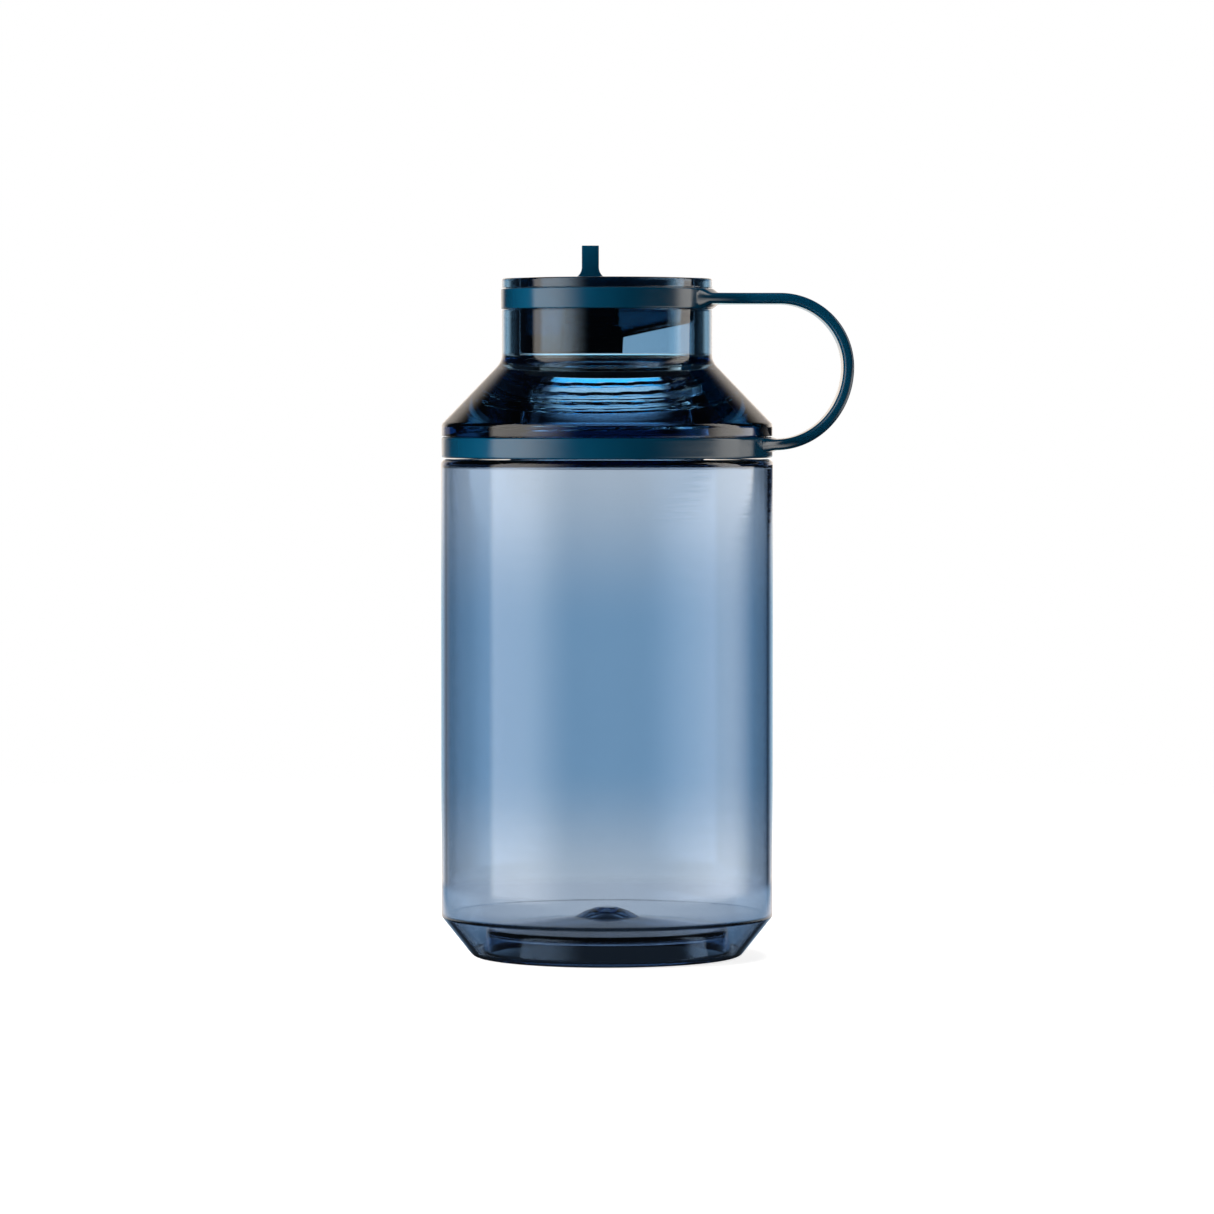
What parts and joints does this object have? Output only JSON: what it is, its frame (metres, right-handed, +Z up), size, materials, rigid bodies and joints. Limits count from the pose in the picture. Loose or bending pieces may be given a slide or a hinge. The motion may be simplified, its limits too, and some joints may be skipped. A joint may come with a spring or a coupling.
{
  "type": "water jug",
  "caption": "Large clear tinted water jug with a screw lid, a pull-out drinking stopper and a silicone loop handle at the side of the lid.",
  "frame": {"origin": "on the resting plane, under the middle of the whole object's width with its handle; the bottle's own axis stands 14.7 mm towards -X from it", "axes": "+Z up along the bottle's axis, +X towards the carry handle, the front of the picture faces -Y"},
  "size_m": [0.1514, 0.122, 0.261],
  "materials": {
    "clear_bottle": "clear blue-tinted plastic, polished",
    "clear_lid": "clear blue-tinted plastic, polished",
    "dark_deck": "deep navy plastic, hardly see-through, polished",
    "teal_silicone": "satin dark teal silicone",
    "seal_silicone": "matt dark silicone"
  },
  "bodies": {
    "bottle": {"bottle_body": "clear_bottle"},
    "lid_seal": {"lid_gasket": "seal_silicone"},
    "lid": {"screw_lid": "clear_lid", "drink_deck": "dark_deck", "carry_handle": "teal_silicone"},
    "stopper": {"stopper": "teal_silicone"}
  },
  "joints": [
    {"name": "lid_lift", "type": "slide", "parent": "bottle", "child": "lid_seal", "axis": [0, 0, 1], "range_m": [0, 0.01185]},
    {"name": "lid_turn", "type": "hinge", "parent": "lid_seal", "child": "lid", "pos_m": [-0.0147, 0, 0.2], "axis": [0, 0, 1], "range_deg": [0, 945]},
    {"name": "stopper_pull", "type": "slide", "parent": "lid", "child": "stopper", "axis": [0, 0, 1], "range_m": [0, 0.03]}
  ],
  "couplings": [
    {"joint": "lid_lift", "follows": "lid_turn", "m_per_rad": 0.0007162}
  ]
}
